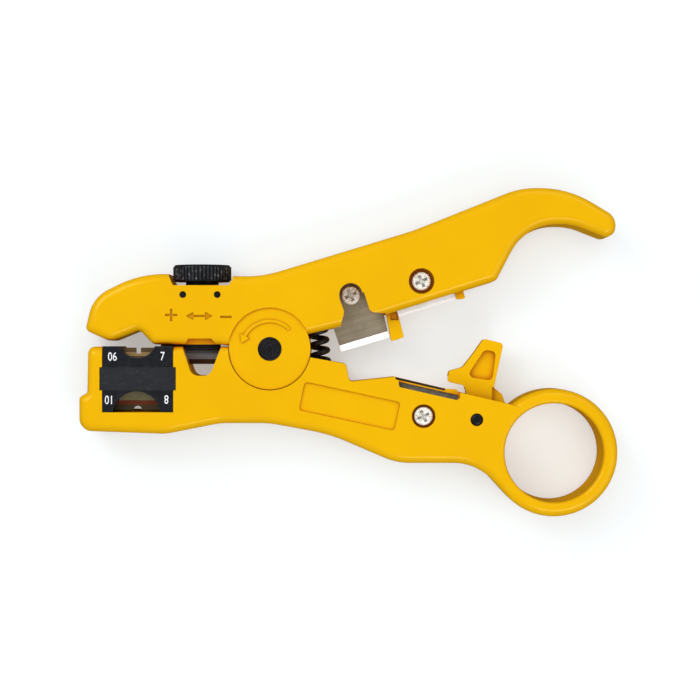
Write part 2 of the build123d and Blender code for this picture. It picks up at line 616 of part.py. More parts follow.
def upper_holder_screw():
    """Screw of the upper strip blade and the guard."""
    return recessed_screw(UPPER_SCREW, HOLDER_HEAD_R, UPPER_STRIP_Z[1] + SCREW_WALL, 2.0)


def lower_strip_blade():
    """Straight blade in the lower handle."""
    blade = outline((31.45, -7.05, 0.0), (44.0, -10.0, 0.0), (47.3, -11.7, 0.0), (46.9, -13.9, 0.5),
                    (42.0, -15.2, 0.5), (41.5, -20.0, 1.0), (35.2, -20.0, 1.0), (34.8, -13.5, 0.5),
                    (31.45, -10.0, 0.3))
    return slab(blade, *LOWER_STRIP_Z) - rod(LOWER_SCREW, HOLDER_SCREW_R, 0, THICKNESS)


def lower_spacer():
    """Spacer that backs the lower blade inside the slot."""
    body = block(34.9, 41.2, -20.8, -13.4, BACK_WALL, LOWER_STRIP_Z[0])
    return body - rod(LOWER_SCREW, HOLDER_SCREW_R, 0, THICKNESS)


def lower_holder_screw():
    """Screw of the lower strip blade."""
    return recessed_screw(LOWER_SCREW, HOLDER_HEAD_R, LOWER_STRIP_Z[1] + SCREW_WALL, 2.0)


# ---------------------------------------------------------------- latch

def latch_lever():
    """Lever that holds the handles together. Its nose hooks over the catch."""
    x, y = LATCH
    lever = slab(latch_outline(), *LATCH_Z) + rod(LATCH, LATCH_BOSS_R, *LATCH_Z)
    lever -= rod(LATCH, LATCH_PIN_R + RUN_GAP, 0, THICKNESS)
    relief = outline((x - 8.5, y + 11.25, 0.0), (x - 3.2, y + 9.65, 0.0), (x - 2.4, y + 8.3, 0.0),
                     (x - 3.4, y + 6.6, 0.0), (x - 8.5, y + 7.5, 0.0))
    lever -= slab(relief, LATCH_Z[0] - 1, LATCH_Z[0] + NOSE_RELIEF_Z)
    recess = outline((x + 2.3, y + 17.5, 1.2), (x + 5.2, y + 17.0, 1.2), (x + 4.2, y + 9.7, 1.2),
                     (x - 2.3, y + 10.7, 1.2))
    lever -= slab(recess, LATCH_Z[1] - 1.2, THICKNESS)
    foot = block(x + 4.2, x + 9, y + 2.5, y + 8.0, LATCH_Z[1] - 1.6, THICKNESS)
    return lever - foot


def latch_pin():
    """Pin of the latch, tight in both walls."""
    pin = rod(LATCH, LATCH_PIN_R, 0.4, THICKNESS - 0.15)
    return fillet(pin.edges().filter_by(GeomType.CIRCLE), 0.8)


# ---------------------------------------------------------------- thumbwheel group

def thumbwheel():
    """Knurled wheel with a grooved stem."""
    wheel = bar_y(WHEEL_X, MID, WHEEL_R - RIB_DEPTH, *WHEEL_Y)
    rib = Pos(WHEEL_X, sum(WHEEL_Y) / 2, MID) * Rot(90, 0, 0)
    for i in range(RIB_COUNT):
        place = rib * Rot(0, 0, i * 360 / RIB_COUNT) * Pos(WHEEL_R - RIB_DEPTH, 0, 0)
        wheel += place * Box(2 * RIB_DEPTH, 0.5, WHEEL_Y[1] - WHEEL_Y[0] - 0.8)
    wheel += bar_y(WHEEL_X, MID, STEM_R, STEM_FOOT, WHEEL_Y[0])
    groove_w = CROSS_PIN_R + SLIDE_GAP
    groove_r = CROSS_PIN_X - CROSS_PIN_R - RUN_GAP
    ring = bar_y(WHEEL_X, MID, STEM_R + 1, CROSS_PIN_Y - groove_w, CROSS_PIN_Y + groove_w)
    wheel -= ring - bar_y(WHEEL_X, MID, groove_r, CROSS_PIN_Y - groove_w - 1, CROSS_PIN_Y + groove_w + 1)
    return wheel - bar_y(WHEEL_X, MID, SCREW_R, STEM_FOOT - 1, SCREW_Y[1])


def adjusting_screw():
    """Screw fixed in the wheel. It moves the slide block."""
    return bar_y(WHEEL_X, MID, SCREW_R, *SCREW_Y)


def wheel_pins():
    """Two cross pins that run in the groove of the stem."""
    pins = [rod((WHEEL_X + side * CROSS_PIN_X, CROSS_PIN_Y), CROSS_PIN_R, 0.3, THICKNESS - 0.3)
            for side in (-1, 1)]
    return Compound(pins)


def blade_slider():
    """Slide block that holds the adjustable blade and the nut."""
    slider = block(WHEEL_X - SLIDER_HALF_W, WHEEL_X + SLIDER_HALF_W, *SLIDER_Y, MID - SLIDER_HALF_T,
                   MID + SLIDER_HALF_T)
    slider -= bar_y(WHEEL_X, MID, NUT_R, SLIDER_Y[1] - NUT_LENGTH, SLIDER_Y[1] + 1)
    slider -= bar_y(WHEEL_X, MID, SCREW_R + SLIDE_GAP, ROUND_BLADE_Y[1], SLIDER_Y[1])
    slider -= slab(round_blade_outline(), MID - ROUND_BLADE_T / 2, MID + ROUND_BLADE_T / 2)
    return slider


def slider_nut():
    """Threaded bush in the slide block."""
    nut = bar_y(WHEEL_X, MID, NUT_R, SLIDER_Y[1] - NUT_LENGTH, SLIDER_Y[1])
    return nut - bar_y(WHEEL_X, MID, SCREW_R + RUN_GAP, 0, THICKNESS)


def round_blade_outline():
    """Outline of the adjustable blade."""
    w = ROUND_BLADE_HALF_W
    y0, y1 = ROUND_BLADE_Y
    return outline((WHEEL_X - w, y0, 0.0), (WHEEL_X + w, y0, 0.0), (WHEEL_X + w, y1, 0.0), (WHEEL_X - w, y1, 0.0))


def round_cable_blade():
    """Blade under the slide block, bevelled along its lower edge."""
    blade = slab(round_blade_outline(), MID - ROUND_BLADE_T / 2, MID + ROUND_BLADE_T / 2)
    edge = blade.edges().filter_by(Axis.X).group_by(Axis.Y)[0].sort_by(Axis.Z)[-1]
    return chamfer(edge, ROUND_BLADE_T * 0.75, 1.2)


# ---------------------------------------------------------------- cassette

SMALL_NOTCH = (CASSETTE_X - 0.1, CASSETTE_TOP + NOTCH_SMALL_R - SMALL_NOTCH_DEPTH)
LARGE_NOTCH = (CASSETTE_X - 0.3, CASSETTE_TOP - CASSETTE_H - NOTCH_LARGE_R + LARGE_NOTCH_DEPTH)
FRONT_BLADE_Z = (CASSETTE_Z[1] - PLATE_T - COAX_BLADE_T, CASSETTE_Z[1] - PLATE_T)
BACK_BLADE_Z = (CASSETTE_Z[0] + PLATE_T, CASSETTE_Z[0] + PLATE_T + COAX_BLADE_T)


def cassette_layer(z0, z1):
    """One layer of the cassette with both round notches and the pin holes."""
    layer = slab(pocket_outline(0.0), z0, z1)
    layer -= rod(SMALL_NOTCH, NOTCH_SMALL_R, z0 - 1, z1 + 1)
    layer -= rod(LARGE_NOTCH, NOTCH_LARGE_R, z0 - 1, z1 + 1)
    for x, y in cassette_pin_places():
        layer -= rod((x, y), CASSETTE_PIN_R, CASSETTE_Z[0] + 1.0, CASSETTE_Z[1] - 1.0)
    return layer


def cassette_pin_places():
    """Places of the two pins that line the layers up."""
    y = sum(LUG_Y) / 2
    return [(CASSETTE_X + side * (CASSETTE_W / 2 - 1.6), y) for side in (-1, 1)]


def coax_blade(small, core, z):
    """Blade across a notch. The front one frees the core with a slit or a small round gap, the back one cuts the jacket."""
    half = CASSETTE_W / 2 - 2.6
    low = CASSETTE_TOP - 0.35 - COAX_BLADE_H if small else CASSETTE_TOP - CASSETTE_H + 0.35
    edge = low + COAX_BLADE_H if small else low
    x = SMALL_NOTCH[0] if small else LARGE_NOTCH[0]
    blade = block(CASSETTE_X - half, CASSETTE_X + half, low, low + COAX_BLADE_H, *z)
    if core and small:
        return blade - block(x - SLIT_W / 2, x + SLIT_W / 2, edge - SLIT_DEPTH, edge + 1, 0, THICKNESS)
    return blade - rod((x, edge), BLADE_HOLE_R if core else JACKET_GAP_R, 0, THICKNESS)


def cassette_front():
    """Front plate of the cassette."""
    return cassette_layer(FRONT_BLADE_Z[1], CASSETTE_Z[1])


def cassette_back():
    """Back plate of the cassette."""
    return cassette_layer(CASSETTE_Z[0], BACK_BLADE_Z[0])


def cassette_core():
    """Middle layer. The blades lie in recesses in its two faces."""
    core = cassette_layer(BACK_BLADE_Z[0], FRONT_BLADE_Z[1])
    half = CASSETTE_W / 2 - 2.6
    for z in (FRONT_BLADE_Z, BACK_BLADE_Z):
        top = CASSETTE_TOP - 0.35
        bottom = CASSETTE_TOP - CASSETTE_H + 0.35
        core -= block(CASSETTE_X - half, CASSETTE_X + half, top - COAX_BLADE_H, CASSETTE_TOP + 1, *z)
        core -= block(CASSETTE_X - half, CASSETTE_X + half, bottom - 1, bottom + COAX_BLADE_H, *z)
    return core


def cassette_pins():
    """Two pins through the three layers."""
    return Compound([rod(place, CASSETTE_PIN_R, CASSETTE_Z[0] + 1.0, CASSETTE_Z[1] - 1.0)
                     for place in cassette_pin_places()])


NODES = {
    "lower_arm": (lower_arm, YELLOW),
    "upper_arm": (upper_arm, YELLOW),
    "pivot_pin": (pivot_pin, BLACK),
    "pivot_retainer": (pivot_retainer, BLACK),
    "return_spring": (return_spring, BLACK),
    "cutter_blade": (cutter_blade, STEEL),
    "cutter_blade_screw": (cutter_blade_screw, ZINC),
    "upper_strip_blade": (upper_strip_blade, STEEL),
    "blade_guard": (blade_guard, YELLOW),
    "upper_holder_screw": (upper_holder_screw, ZINC),
    "lower_strip_blade": (lower_strip_blade, STEEL),
    "lower_spacer": (lower_spacer, YELLOW),
    "lower_holder_screw": (lower_holder_screw, ZINC),
    "latch_lever": (latch_lever, YELLOW),
    "latch_pin": (latch_pin, BLACK),
    "thumbwheel": (thumbwheel, BLACK),
    "adjusting_screw": (adjusting_screw, ZINC),
    "wheel_pins": (wheel_pins, BLACK),
    "blade_slider": (blade_slider, BLACK),
    "slider_nut": (slider_nut, BRASS),
    "round_cable_blade": (round_cable_blade, STEEL),
    "cassette_front": (cassette_front, BLACK),
    "cassette_core": (cassette_core, BLACK),
    "cassette_back": (cassette_back, BLACK),
    "small_notch_jacket_blade": (lambda: coax_blade(True, False, BACK_BLADE_Z), STEEL),
    "small_notch_core_blade": (lambda: coax_blade(True, True, FRONT_BLADE_Z), STEEL),
    "large_notch_jacket_blade": (lambda: coax_blade(False, False, BACK_BLADE_Z), STEEL),
    "large_notch_core_blade": (lambda: coax_blade(False, True, FRONT_BLADE_Z), STEEL),
    "cassette_pins": (cassette_pins, ZINC),
}

os.makedirs("parts", exist_ok=True)
for node, (make, colour) in NODES.items():
    save(node, one(make()), colour)
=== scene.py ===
import json
from math import cos, pi, radians, sin

import bpy
from mathutils import Matrix, Vector

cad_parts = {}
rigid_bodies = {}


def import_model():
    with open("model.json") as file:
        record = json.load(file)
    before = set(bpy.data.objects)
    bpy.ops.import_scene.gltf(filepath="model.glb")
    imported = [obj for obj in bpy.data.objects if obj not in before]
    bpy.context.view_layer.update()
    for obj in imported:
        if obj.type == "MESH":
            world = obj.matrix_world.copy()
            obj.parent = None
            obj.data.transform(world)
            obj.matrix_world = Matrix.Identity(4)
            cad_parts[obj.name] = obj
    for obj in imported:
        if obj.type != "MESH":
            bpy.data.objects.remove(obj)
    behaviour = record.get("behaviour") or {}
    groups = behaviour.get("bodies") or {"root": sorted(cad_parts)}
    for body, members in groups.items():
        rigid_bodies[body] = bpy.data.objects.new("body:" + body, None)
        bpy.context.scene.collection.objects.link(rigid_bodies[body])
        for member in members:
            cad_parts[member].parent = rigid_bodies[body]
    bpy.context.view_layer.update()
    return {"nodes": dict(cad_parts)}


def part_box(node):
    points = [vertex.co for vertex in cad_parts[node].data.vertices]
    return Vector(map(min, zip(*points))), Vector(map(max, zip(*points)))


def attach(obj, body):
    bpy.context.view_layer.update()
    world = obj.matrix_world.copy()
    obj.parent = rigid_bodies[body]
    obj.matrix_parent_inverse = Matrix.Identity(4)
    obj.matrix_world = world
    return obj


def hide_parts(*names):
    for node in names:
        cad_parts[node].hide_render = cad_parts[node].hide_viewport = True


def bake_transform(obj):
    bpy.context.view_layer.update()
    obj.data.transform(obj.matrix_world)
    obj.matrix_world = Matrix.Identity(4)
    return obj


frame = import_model()
nodes = frame["nodes"]
MM = 0.001
PER_MM = 1000.0

# heights and places in millimetres, in the frame of the CAD
MARK_FLOOR = 15.6                       # floor of the sunk direction marks
CUTTER_EDGE, CUTTER_SLOPE = (17.9, -0.65), 16.8
UPPER_EDGE, UPPER_SLOPE = (32.4, 8.1), 17.2
LOWER_EDGE, LOWER_SLOPE = (31.2, -7.0), -13.3
CASSETTE_WORN_BAND = (-10.2, -4.7)      # from y to y

# return spring
SPRING_WIRE = 1.4 * MM
SPRING_TURNS = 6
SPRING_PLAY = 0.25 * MM                 # free length left between the arms
END_COIL_PITCH = 1.04                   # rise of a closed end coil, in wires

# printed numerals
NUMERAL_SIZE = 3.05 * MM
NUMERAL_WIDTH = 0.76                    # narrowing of the letters
INK_DEPTH = 0.012 * MM
INK_SPREAD = 0.005 * MM
INK_LIFT = 0.010 * MM
NUMERALS = (
    ("size_mark_small_left", "06", -39.3, -2.0, 0),
    ("size_mark_small_right", "7", -26.8, -1.9, 0),
    ("size_mark_large_left", "10", -40.1, -12.6, 180),
    ("size_mark_large_right", "8", -25.8, -12.5, 180),
)

# blade tones from the top down, painted shade and painted reflections of the yellow walls: the first tone,
# then (height, tone) pairs
ROUND_BLADE_BANDS = [
    (0.035, 0.035, 0.04),
    (-0.4, (0.11, 0.115, 0.125)),
    (-1.1, (0.22, 0.23, 0.25)),
    (-2.55, (0.035, 0.018, 0.016)),
]
SMALL_CORE_BANDS = [(0.12, 0.075, 0.028), (-0.80, (0.42, 0.27, 0.10)), (-1.75, (0.12, 0.080, 0.035))]
SMALL_JACKET_BANDS = [(0.27, 0.19, 0.08), (-0.95, (0.45, 0.32, 0.15))]
LARGE_CORE_BANDS = [(0.19, 0.165, 0.080), (-12.9, (0.15, 0.026, 0.004)), (-14.0, (0.060, 0.042, 0.016))]
LARGE_JACKET_BANDS = [(0.22, 0.20, 0.11), (-12.9, (0.16, 0.05, 0.012))]

# stage, in metres and watts: place, aim, width, height, power
MIDDLE = (0.02, 0, 0)
KEY = ((-0.42, 0.38, 0.55), MIDDLE, 0.45, 0.45, 2.6)
FILL = ((0.52, -0.30, 0.50), MIDDLE, 0.6, 0.5, 1.3)
RIM = ((0.30, 0.60, 0.45), MIDDLE, 0.7, 0.4, 1.0)
FRONT = ((0.163, -0.461, 0.583), (0.024, 0.001, 0.008), 0.36, 0.26, 1.2)    # mirrored in the cutter bevel
OVERHEAD = ((-0.05, 0.10, 0.90), MIDDLE, 1.1, 1.0, 4.9)
LENS, SENSOR = 103.7, 36.0
CAMERA_PLACE = (20.1 * MM, -0.25 * MM, 520 * MM)
FLOOR_HALF, FLOOR_Z = 1.5, -0.05 * MM
GLOW_STRENGTH = 0.50
GLOW_REACH = 12 * MM                    # the glow fades, as a painted shadow, where something is nearer than this


# ---------------------------------------------------------------- shader helper

class Field:
    """A shader socket that takes part in plain arithmetic."""

    def __init__(self, finish, socket):
        self.finish, self.socket = finish, socket

    def math(self, operation, *values, clamp=False):
        return self.finish.node("ShaderNodeMath", {"operation": operation, "use_clamp": clamp},
                                dict(enumerate((self, *values))))

    def __add__(self, other): return self.math("ADD", other)
    def __radd__(self, other): return self.math("ADD", other)
    def __sub__(self, other): return self.math("SUBTRACT", other)
    def __rsub__(self, other): return self.finish.number("SUBTRACT", other, self)
    def __mul__(self, other): return self.math("MULTIPLY", other)
    def __rmul__(self, other): return self.math("MULTIPLY", other)
    def __pow__(self, other): return self.math("POWER", other)
    def __abs__(self): return self.math("ABSOLUTE")

    def step(self, low, high):
        """0 below low, 1 above high, smooth between. The other way round if low is above high."""
        settings = {"interpolation_type": "SMOOTHSTEP"}
        if low < high:
            return self.finish.node("ShaderNodeMapRange", settings, {0: self, 1: low, 2: high})
        return self.finish.node("ShaderNodeMapRange", settings, {0: self, 1: high, 2: low, 3: 1, 4: 0})


class Finish:
    """A procedural material. Constants go straight to the shader's own sockets."""

    def __init__(self, name, **constants):
        self.material = bpy.data.materials.new(name)
        self.material.use_nodes = True
        self.tree = self.material.node_tree
        self.surface = self.tree.nodes["Principled BSDF"]
        for key, value in constants.items():
            self.surface.inputs[key.replace("_", " ")].default_value = value
        place = self.node("ShaderNodeTexCoord", {}, {}, "Object")
        self.mm = self.node("ShaderNodeVectorMath", {"operation": "SCALE"}, {0: place, "Scale": PER_MM})
        self.parts = [self.node("ShaderNodeSeparateXYZ", {}, {0: self.mm}, i) for i in range(3)]

    def node(self, kind, settings, sockets, out=0):
        made = self.tree.nodes.new(kind)
        for key, value in settings.items():
            if key == "stops":
                ramp = made.color_ramp
                while len(ramp.elements) < len(value):
                    ramp.elements.new(0.5)
                for element, (place, colour) in zip(ramp.elements, value):
                    element.position, element.color = place, colour
            else:
                setattr(made, key, value)
        for key, value in sockets.items():
            if isinstance(value, Field):
                self.tree.links.new(value.socket, made.inputs[key])
            else:
                made.inputs[key].default_value = value
        return Field(self, made.outputs[out])

    def number(self, operation, first, second):
        return self.node("ShaderNodeMath", {"operation": operation}, {0: first, 1: second})

    def noise(self, scale, detail=2.0, rough=0.5, at=None, shift=(0, 0, 0)):
        """Noise with a scale in cycles per millimetre, from 0 to 1."""
        place = self.node("ShaderNodeMapping", {}, {0: at or self.mm, "Location": shift})
        sockets = {"Vector": place, "Scale": scale, "Detail": detail, "Roughness": rough}
        return self.node("ShaderNodeTexNoise", {}, sockets)

    def turned(self, degrees, stretch=(1, 1, 1)):
        """Coordinates turned about Z, then stretched, for patterns with a direction."""
        turn = self.node("ShaderNodeMapping", {}, {0: self.mm, "Rotation": (0, 0, radians(-degrees))})
        return self.node("ShaderNodeVectorMath", {"operation": "MULTIPLY"}, {0: turn, 1: stretch})

    def mix(self, factor, first, second):
        sockets = {0: factor, 6: first, 7: second}
        return self.node("ShaderNodeMix", {"data_type": "RGBA"}, sockets, 2)

    def above(self, point, degrees):
        """Distance in millimetres from a line through a point, positive to its left."""
        x, y, _ = self.parts
        return (y - point[1]) * cos(radians(degrees)) - (x - point[0]) * sin(radians(degrees))

    def soft_edges(self, radius):
        """Normal with edges rounded by a radius in millimetres."""
        return self.node("ShaderNodeBevel", {"samples": 4}, {"Radius": radius * MM})

    def edges(self, radius):
        """1 on corners sharper than a radius in millimetres, 0 on flats."""
        shape = self.node("ShaderNodeNewGeometry", {}, {}, "Normal")
        sockets = {0: self.soft_edges(radius), 1: shape}
        flat = self.node("ShaderNodeVectorMath", {"operation": "DOT_PRODUCT"}, sockets, 1)
        return flat.step(0.995, 0.90)

    def bump(self, height, depth, normal=None):
        """Bump from a 0 to 1 height, with its depth in millimetres."""
        sockets = {"Height": height, "Distance": depth * MM, "Strength": 1.0}
        if normal:
            sockets["Normal"] = normal
        return self.node("ShaderNodeBump", {}, sockets)

    def wear(self, **inputs):
        for key, value in inputs.items():
            socket = self.surface.inputs[key.replace("_", " ")]
            if isinstance(value, Field):
                self.tree.links.new(value.socket, socket)
            else:
                socket.default_value = value
        return self.material


def colour(r, g, b):
    return (r, g, b, 1.0)


# ---------------------------------------------------------------- finishes

def moulded_yellow():
    """Semi-gloss yellow ABS: faint flow marks, fine scratches, scuffed edges, and painted shade in the
    corners: orange, then dark brown, where walls stand close.

    The tint of the specular is chosen for looks, and so is the painted shade, a darker orange, on the floors
    of the sunk marks.
    """
    f = Finish("yellow_plastic", Specular_IOR_Level=0.42, IOR=1.5, Specular_Tint=colour(1.0, 0.80, 0.30))
    flow = f.noise(0.045, 3.0, 0.55)
    cloud = f.noise(0.22, 4.0, 0.6, shift=(7, 3, 1))
    base = f.mix(flow.step(0.3, 0.7), colour(0.715, 0.380, 0.0002), colour(0.745, 0.405, 0.0002))
    base = f.mix(cloud.step(0.62, 0.85) * 0.35, base, colour(0.66, 0.335, 0.0002))
    corner = f.edges(0.35)
    scuff = f.noise(0.5, 3.0, shift=(2, 5, 8)).step(0.45, 0.75)
    base = f.mix(corner * scuff * 0.30, base, colour(0.88, 0.53, 0.01))
    # painted shade: orange, then dark brown in the deepest corners, where AO finds walls within 3.5 mm
    closed = f.node("ShaderNodeAmbientOcclusion", {"samples": 6}, {"Distance": 3.5 * MM}, "AO")
    base = f.mix(closed.step(0.90, 0.45) * 0.9, base, colour(0.62, 0.18, 0.0006))
    base = f.mix(closed.step(0.45, 0.12) * 0.9, base, colour(0.24, 0.06, 0.002))
    facing = f.node("ShaderNodeSeparateXYZ", {}, {0: f.node("ShaderNodeNewGeometry", {}, {}, "Normal")}, 2)
    # painted shade: the upward faces at the floor of the sunk marks, darker orange
    sunk = abs(f.parts[2] - MARK_FLOOR).step(0.07, 0.03) * facing.step(0.9, 0.97)
    base = f.mix(sunk * 0.65, base, colour(0.48, 0.20, 0.002))
    scratch = f.noise(0.9, 5.0, 0.7, at=f.turned(28, (0.12, 2.4, 1.0))).step(0.68, 0.74)
    scratch = scratch * f.noise(0.08, 1.0, shift=(4, 4, 0)).step(0.48, 0.6)
    rough = 0.145 + cloud * 0.07 + scratch * 0.14 + corner * 0.03
    skin = f.noise(2.6, 2.0, 0.5) * 0.5 + f.noise(0.10, 2.0) * 8.0 - scratch * 0.7
    return f.wear(Base_Color=base, Roughness=rough, Normal=f.bump(skin, 0.004, f.soft_edges(0.22)))


def moulded_black(name, tone=1.0, band=None, worn=0.4, crests=None):
    """Satin blue-black plastic with scuffs and rubbed corners, and, if given, a worn band and painted
    highlights along the crests.
    """
    f = Finish(name, Specular_IOR_Level=0.22, IOR=1.5)
    patch = f.noise(0.5, 5.0, 0.65)
    rub = f.noise(1.1, 6.0, 0.75, at=f.turned(20, (0.35, 1.6, 1.0))).step(0.54, 0.72)
    base = f.mix(patch.step(0.4, 0.8) * 0.6, colour(0.0055 * tone, 0.0065 * tone, 0.009 * tone),
                 colour(0.013 * tone, 0.015 * tone, 0.020 * tone))
    amount = rub * 0.15
    if band:
        y = f.parts[1]
        centre, half = (band[0] + band[1]) / 2, (band[1] - band[0]) / 2
        inside = abs(y - centre).step(half + 0.35, half - 0.1)
        amount = amount + inside * (rub * 0.55 + 0.28)
    base = f.mix(amount.math("MINIMUM", 1.0), base, colour(0.042, 0.042, 0.045))
    base = f.mix(f.edges(0.3) * worn, base, colour(0.060, 0.064, 0.074))
    if crests:
        x, z, reach = crests
        across, deep = f.parts[0] - x, f.parts[2] - z
        # painted highlight: the crests lighter grey, brighter still in noisy glints
        crest = ((across * across + deep * deep) ** 0.5).step(reach - 0.26, reach - 0.12)
        glint = f.noise(0.55, 3.0, 0.6, at=f.turned(0, (1.6, 1.8, 0.5))).step(0.52, 0.68)
        base = f.mix(crest * (0.05 + glint * 0.40), base, colour(0.26, 0.27, 0.29))
    rough = 0.32 + patch * 0.18 + rub * 0.12
    skin = f.noise(3.2, 3.0, 0.6) + patch * 2.0 - rub * 0.6
    return f.wear(Base_Color=base, Roughness=rough, Normal=f.bump(skin, 0.006, f.soft_edges(0.12)))


def black_oxide(name="black_metal"):
    """Oiled black steel: glossy, with faint grey rings on its corners that are a painted rim highlight."""
    f = Finish(name, Specular_IOR_Level=0.5)
    spots = f.noise(0.9, 5.0, 0.7)
    base = f.mix(spots.step(0.52, 0.8) * 0.6, colour(0.018, 0.018, 0.020), colour(0.060, 0.058, 0.058))
    # painted highlight: corners lighter grey
    base = f.mix(f.edges(0.12) * 0.5, base, colour(0.14, 0.14, 0.15))
    rough = 0.22 + spots * 0.22
    metal = 0.55 + spots * 0.2
    return f.wear(Base_Color=base, Roughness=rough, Metallic=metal,
                  Normal=f.bump(f.noise(2.0, 3.0), 0.004, f.soft_edges(0.12)))


def rolled_steel(f, slope, body, lines=4.0):
    """Colour, roughness and height of rolled strip with its grain along a direction."""
    r, g, b = body
    grain = f.noise(1.0, 6.0, 0.7, at=f.turned(slope, (0.10, lines, 1.0)))
    cloud = f.noise(0.28, 5.0, 0.65)
    low, high = colour(r * 0.86, g * 0.86, b * 0.86), colour(r * 1.12, g * 1.12, b * 1.14)
    base = f.mix(grain.step(0.3, 0.7), low, high)
    base = f.mix(cloud.step(0.42, 0.72) * 0.5, base, colour(r * 0.72, g * 0.72, b * 0.68))
    return base, 0.32 + grain * 0.16, grain


def cutter_steel():
    """Cutter blade: tan-grey strip with a ground band beside the edge, its almost white colour partly a
    painted reflection.
    """
    f = Finish("cutter_steel", Specular_IOR_Level=0.5)
    away = f.above(CUTTER_EDGE, CUTTER_SLOPE)
    ground = away.step(1.66, 1.56)
    base, rough, grain = rolled_steel(f, CUTTER_SLOPE, (0.40, 0.355, 0.255), 1.6)
    across = f.noise(1.0, 4.0, 0.6, at=f.turned(CUTTER_SLOPE, (5.0, 0.12, 1.0)))
    # partly painted reflection: the ground band near white
    shine = f.mix(across.step(0.35, 0.65), colour(0.93, 0.93, 0.91), colour(0.98, 0.98, 0.97))
    base = f.mix(ground, base, shine)
    metal = 0.55 + ground * 0.10
    return f.wear(Base_Color=base, Roughness=rough - ground * 0.06, Metallic=metal,
                  Normal=f.bump(grain * (1 - ground) + across * ground * 0.5, 0.004, f.soft_edges(0.05)))


def bright_strip():
    """Upper straight blade, polished, its near-white colour a painted reflection, with its ground edge along
    the lower side whiter still.
    """
    f = Finish("bright_strip_steel", Specular_IOR_Level=0.5)
    away = f.above(UPPER_EDGE, UPPER_SLOPE)
    ground = away.step(0.62, 0.54)
    # painted reflection: the whole face near white, the ground edge whiter
    base, rough, grain = rolled_steel(f, UPPER_SLOPE, (0.92, 0.96, 0.97))
    base = f.mix(ground, base, colour(0.96, 0.98, 1.0))
    return f.wear(Base_Color=base, Roughness=rough - ground * 0.1, Metallic=0.10 - ground * 0.08,
                  Normal=f.bump(grain, 0.004, f.soft_edges(0.05)))


def dark_strip():
    """Lower straight blade: edge painted black as a dark reflection, face painted dark grey as shade in its
    recess, with pale mottling.
    """
    f = Finish("dark_strip_steel", Specular_IOR_Level=0.5)
    away = f.above(LOWER_EDGE, LOWER_SLOPE)
    # painted reflection: the edge band black
    black = away.step(-0.66, -0.56)
    mottle = f.noise(1.3, 6.0, 0.75, at=f.turned(LOWER_SLOPE, (0.6, 1.4, 1.0)))
    # painted shade: the face dark grey
    base, rough, grain = rolled_steel(f, LOWER_SLOPE, (0.17, 0.165, 0.135))
    base = f.mix(mottle.step(0.45, 0.62) * 0.7, base, colour(0.30, 0.30, 0.27))
    base = f.mix(black, base, colour(0.012, 0.011, 0.012))
    return f.wear(Base_Color=base, Roughness=rough, Metallic=0.45 - black * 0.3,
                  Normal=f.bump(grain + mottle, 0.006, f.soft_edges(0.05)))


def banded_steel(name, slope, bands, metal=0.3):
    """Small blade whose tone changes in painted bands of shade and reflection from its top down: first tone,
    then (height, tone) pairs.
    """
    f = Finish(name, Specular_IOR_Level=0.5)
    base, rough, grain = rolled_steel(f, slope, bands[0])
    y = f.parts[1] + (f.noise(1.4, 3.0, 0.6) - 0.5) * 0.25
    # painted shade and reflection: each band a different tone of the same steel
    for height, tone in bands[1:]:
        lower, _, _ = rolled_steel(f, slope, tone)
        base = f.mix(y.step(height + 0.08, height - 0.08), base, lower)
    return f.wear(Base_Color=base, Roughness=rough, Metallic=metal,
                  Normal=f.bump(grain, 0.005, f.soft_edges(0.05)))


def zinc_plate():
    """Bright zinc with a faint straw and blue tarnish, a crystalline sparkle, and painted shade in brown
    where the bore walls stand close.
    """
    f = Finish("zinc_steel", Specular_IOR_Level=0.5)
    tarnish = f.noise(1.1, 4.0, 0.7)
    speckle = f.noise(3.2, 2.0, 0.5, shift=(3, 1, 6))
    base = f.mix(tarnish.step(0.35, 0.7), colour(0.98, 1.0, 1.0), colour(0.84, 0.80, 0.62))
    base = f.mix(f.noise(1.6, 3.0, 0.6, shift=(9, 2, 4)).step(0.55, 0.8), base, colour(0.45, 0.68, 0.70))
    base = f.mix(speckle.step(0.50, 0.56) * 0.55, base, colour(0.17, 0.14, 0.085))
    # painted shade: brown round the heads where AO finds the bore walls within 1 mm
    closed = f.node("ShaderNodeAmbientOcclusion", {"samples": 6}, {"Distance": 1.0 * MM}, "AO")
    base = f.mix(closed.step(0.60, 0.20) * 0.75, base, colour(0.28, 0.15, 0.07))
    facet = f.node("ShaderNodeTexVoronoi", {}, {"Vector": f.mm, "Scale": 2.4}, "Distance")
    return f.wear(Base_Color=base, Roughness=0.24 + tarnish * 0.16, Metallic=0.03 + tarnish * 0.12,
                  Normal=f.bump(facet * 1.4 + tarnish, 0.03, f.soft_edges(0.10)))


def turned_brass():
    """Turned brass, dull in the grooves."""
    f = Finish("brass", Metallic=1.0)
    ring = f.noise(1.0, 3.0, 0.6, at=f.turned(0, (0.2, 6.0, 0.2)))
    base = f.mix(ring.step(0.3, 0.7), colour(0.55, 0.36, 0.12), colour(0.80, 0.60, 0.27))
    return f.wear(Base_Color=base, Roughness=0.25 + ring * 0.2, Normal=f.bump(ring, 0.01))


def printed_white():
    """White pad-printed ink, thin and slightly broken."""
    f = Finish("white_print", Specular_IOR_Level=0.3)
    broken = f.noise(3.5, 4.0, 0.7)
    base = f.mix(broken.step(0.35, 0.6), colour(0.62, 0.63, 0.66), colour(0.90, 0.91, 0.92))
    return f.wear(Base_Color=base, Roughness=0.5 + broken * 0.2, Normal=f.bump(broken, 0.004))


# ---------------------------------------------------------------- stage

def set_camera():
    lens = bpy.data.cameras.new("camera")
    lens.lens, lens.sensor_width, lens.clip_start = LENS, SENSOR, 0.01
    camera = bpy.data.objects.new("camera", lens)
    camera.location = CAMERA_PLACE
    bpy.context.scene.collection.objects.link(camera)
    bpy.context.scene.camera = camera


